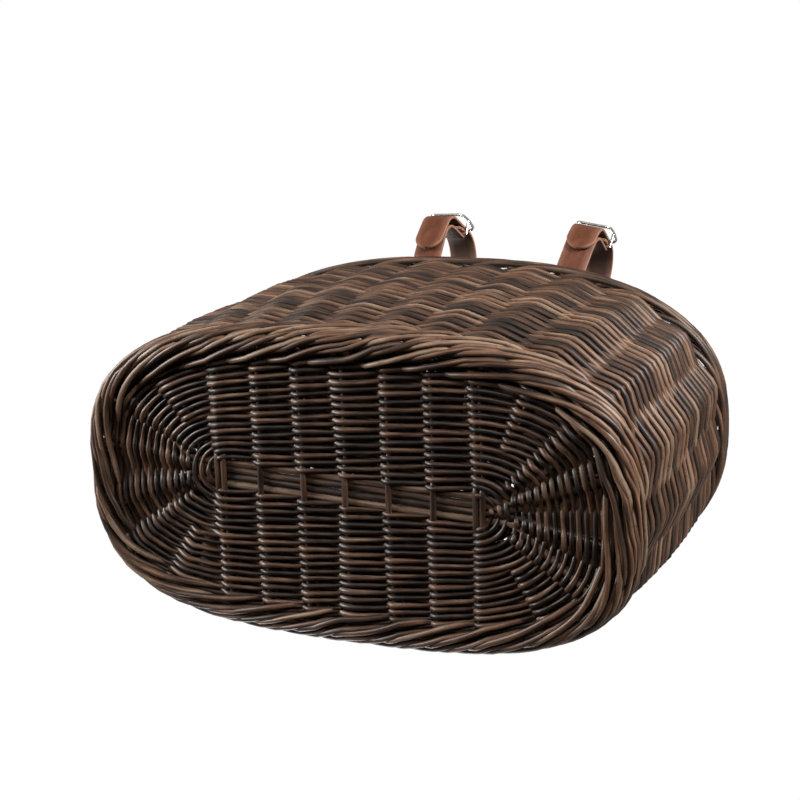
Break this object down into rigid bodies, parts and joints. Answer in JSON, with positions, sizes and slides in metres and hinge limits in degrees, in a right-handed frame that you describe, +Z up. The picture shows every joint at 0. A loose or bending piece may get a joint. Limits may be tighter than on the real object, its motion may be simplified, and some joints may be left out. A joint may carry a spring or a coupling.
{
  "type": "bicycle basket",
  "caption": "Oval woven willow handlebar basket with a stick base, a bent-over border and leather buckle straps that loop round a handlebar.",
  "frame": {"origin": "on the ground under the middle of the part's bounding box, straps included", "axes": "+X along the basket, +Y towards the handlebar side with the straps, +Z up through the open rim"},
  "size_m": [0.3678, 0.2372, 0.2766],
  "materials": {
    "stake_willow": "dark stained willow, satin",
    "strand_willow": "dark stained willow, satin",
    "wale_willow": "dark stained willow, satin",
    "stick_willow": "dark stained willow, satin",
    "strap_leather": "chestnut leather with pale cut edges",
    "buckle_nickel": "polished nickel wire"
  },
  "bodies": {
    "basket": {"side_stake_1": "stake_willow", "side_stake_2": "stake_willow", "side_stake_3": "stake_willow", "side_stake_4": "stake_willow", "side_stake_5": "stake_willow", "side_stake_6": "stake_willow", "side_stake_7": "stake_willow", "side_stake_8": "stake_willow", "side_stake_9": "stake_willow", "side_stake_10": "stake_willow", "side_stake_11": "stake_willow", "side_stake_12": "stake_willow", "side_stake_13": "stake_willow", "side_stake_14": "stake_willow", "side_stake_15": "stake_willow", "side_stake_16": "stake_willow", "side_stake_17": "stake_willow", "side_stake_18": "stake_willow", "side_stake_19": "stake_willow", "side_stake_20": "stake_willow", "side_stake_21": "stake_willow", "side_stake_22": "stake_willow", "side_stake_23": "stake_willow", "side_stake_24": "stake_willow", "side_stake_25": "stake_willow", "side_stake_26": "stake_willow", "wall_course_1": "strand_willow", "wall_course_2": "strand_willow", "wall_course_3": "strand_willow", "wall_course_4": "strand_willow", "wall_course_5": "strand_willow", "wall_course_6": "strand_willow", "wall_course_7": "strand_willow", "wall_course_8": "strand_willow", "rim_wale": "wale_willow", "foot_wale": "wale_willow", "base_cross_stick_1": "stick_willow", "base_cross_stick_2": "stick_willow", "base_cross_stick_3": "stick_willow", "base_cross_stick_4": "stick_willow", "base_cross_stick_5": "stick_willow", "base_cross_stick_6": "stick_willow", "base_cross_stick_7": "stick_willow", "base_cross_stick_8": "stick_willow", "base_cross_stick_9": "stick_willow", "base_long_stick_1": "stick_willow", "base_long_stick_2": "stick_willow", "base_long_stick_3": "stick_willow", "base_long_stick_4": "stick_willow", "base_course_1": "strand_willow", "base_course_2": "strand_willow", "base_course_3": "strand_willow"},
    "strap_left": {"strap_left": "strap_leather"},
    "buckle_left": {"buckle_frame_left": "buckle_nickel"},
    "tongue_left": {"buckle_tongue_left": "buckle_nickel"},
    "strap_right": {"strap_right": "strap_leather"},
    "buckle_right": {"buckle_frame_right": "buckle_nickel"},
    "tongue_right": {"buckle_tongue_right": "buckle_nickel"}
  },
  "joints": [
    {"name": "strap_left_swing", "type": "hinge", "parent": "basket", "child": "strap_left", "pos_m": [0.0297, 0.08732, 0.2166], "axis": [0.9993, -0.0363, 0], "range_deg": [-25, 60]},
    {"name": "buckle_left_rock", "type": "hinge", "parent": "strap_left", "child": "buckle_left", "pos_m": [0.03023, 0.10199, 0.25422], "axis": [0.9993, -0.0363, 0], "range_deg": [-3, 3]},
    {"name": "tongue_left_lift", "type": "hinge", "parent": "strap_left", "child": "tongue_left", "pos_m": [0.03023, 0.10199, 0.25422], "axis": [-0.9993, 0.0363, 0], "range_deg": [0, 5]},
    {"name": "strap_right_swing", "type": "hinge", "parent": "basket", "child": "strap_right", "pos_m": [-0.07271, 0.08343, 0.2166], "axis": [0.9879, 0.1552, 0], "range_deg": [-25, 60]},
    {"name": "buckle_right_rock", "type": "hinge", "parent": "strap_right", "child": "buckle_right", "pos_m": [-0.07499, 0.09794, 0.25422], "axis": [0.9879, 0.1552, 0], "range_deg": [-3, 3]},
    {"name": "tongue_right_lift", "type": "hinge", "parent": "strap_right", "child": "tongue_right", "pos_m": [-0.07499, 0.09794, 0.25422], "axis": [-0.9879, -0.1552, 0], "range_deg": [0, 5]}
  ]
}
